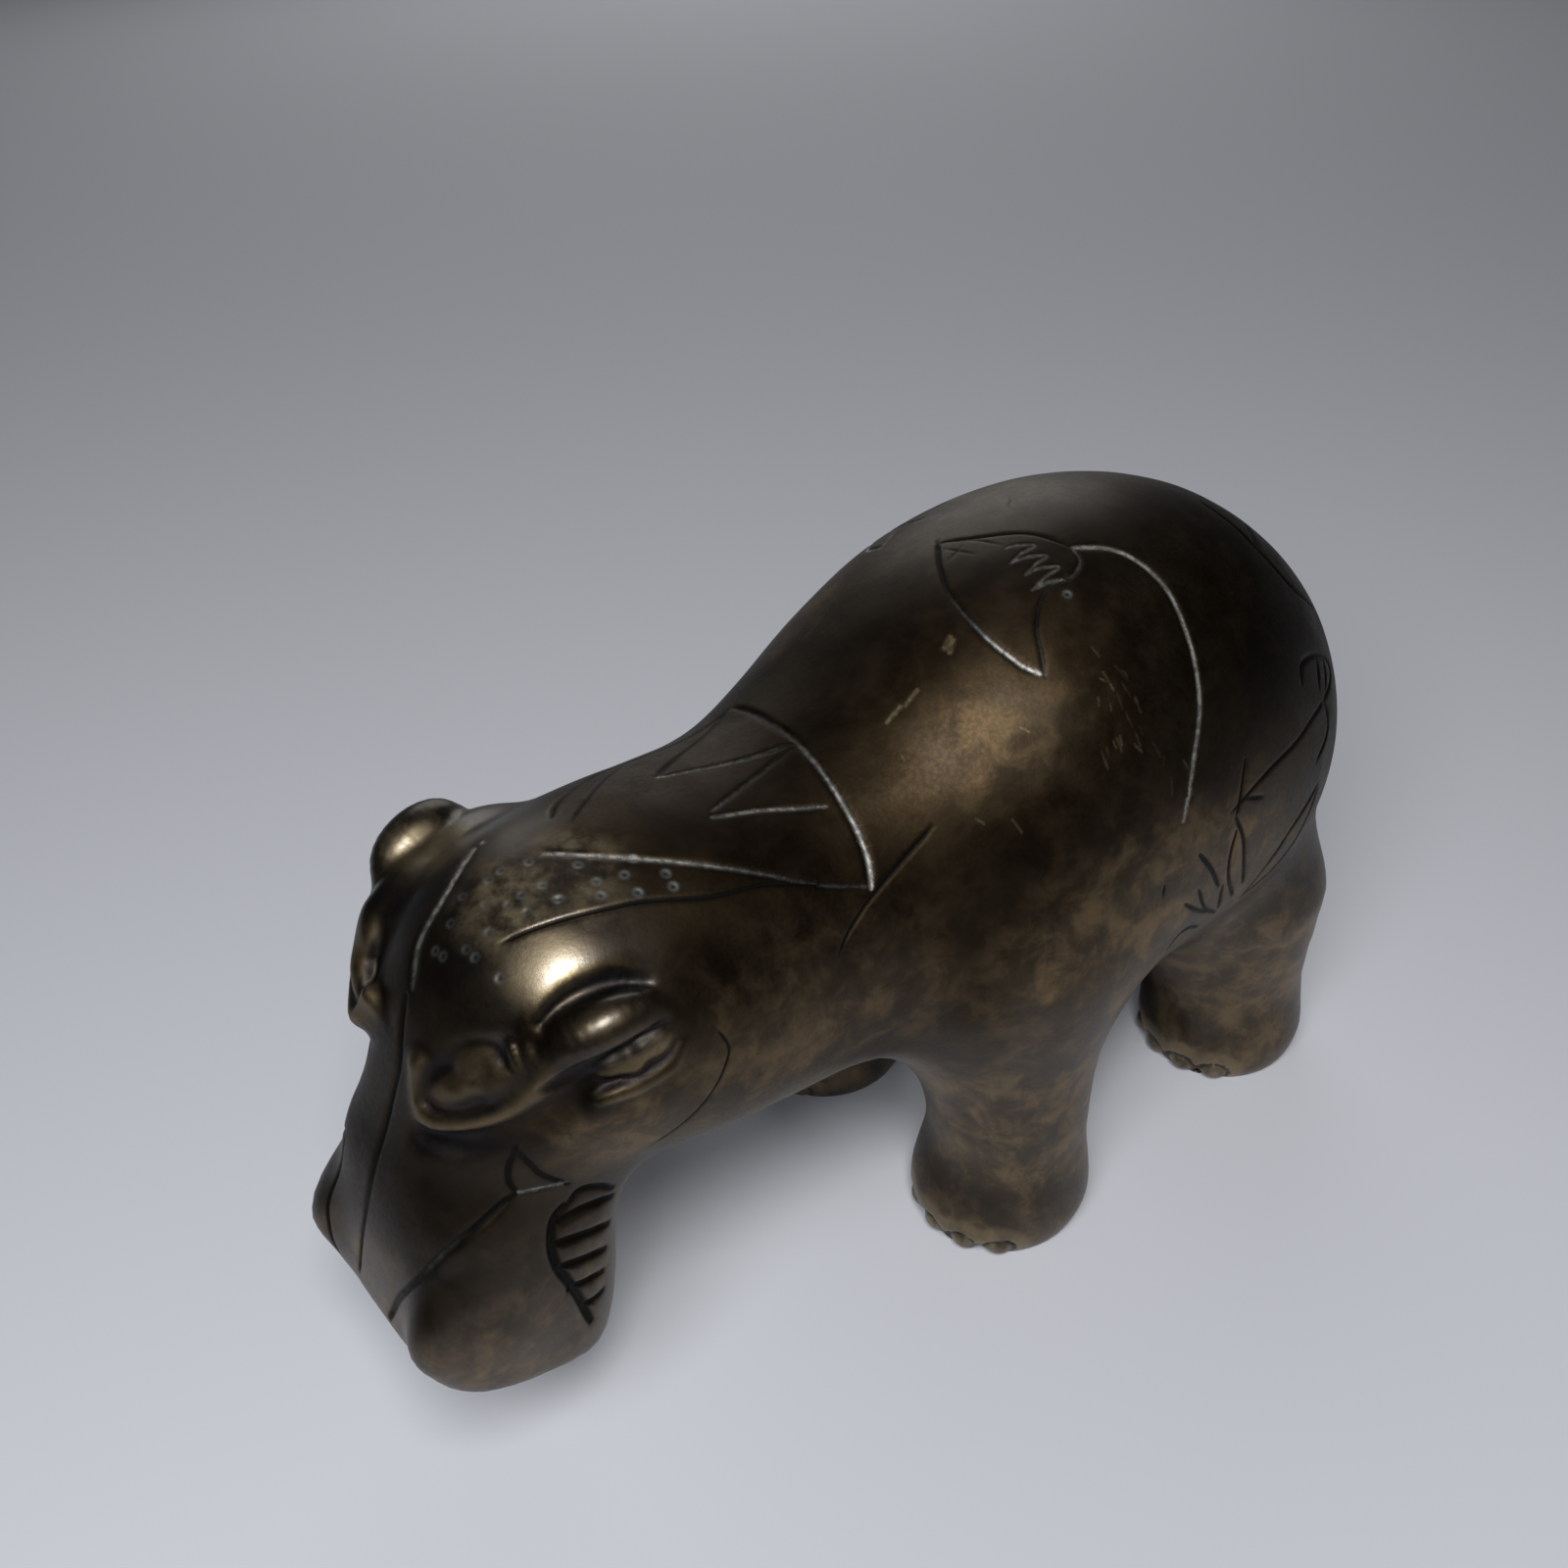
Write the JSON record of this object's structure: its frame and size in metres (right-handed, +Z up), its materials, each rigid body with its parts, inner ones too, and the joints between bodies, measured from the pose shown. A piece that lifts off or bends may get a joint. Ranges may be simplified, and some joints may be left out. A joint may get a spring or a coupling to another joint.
{
  "type": "hippopotamus figurine",
  "caption": "Small cast hippopotamus figurine that stands on its four feet, with its head lowered and marsh-plant ornament incised on head, back and flanks.",
  "frame": {"origin": "middle of the footprint, on the surface it stands on", "axes": "+Z up, the head looks along -X, the left flank faces -Y"},
  "size_m": [0.1913, 0.0798, 0.1161],
  "materials": {
    "bronze": "dark brown patinated bronze, satin, rubbed warm and golden on the high places"
  },
  "bodies": {
    "root": {"hippo_figure": "bronze"}
  },
  "joints": []
}
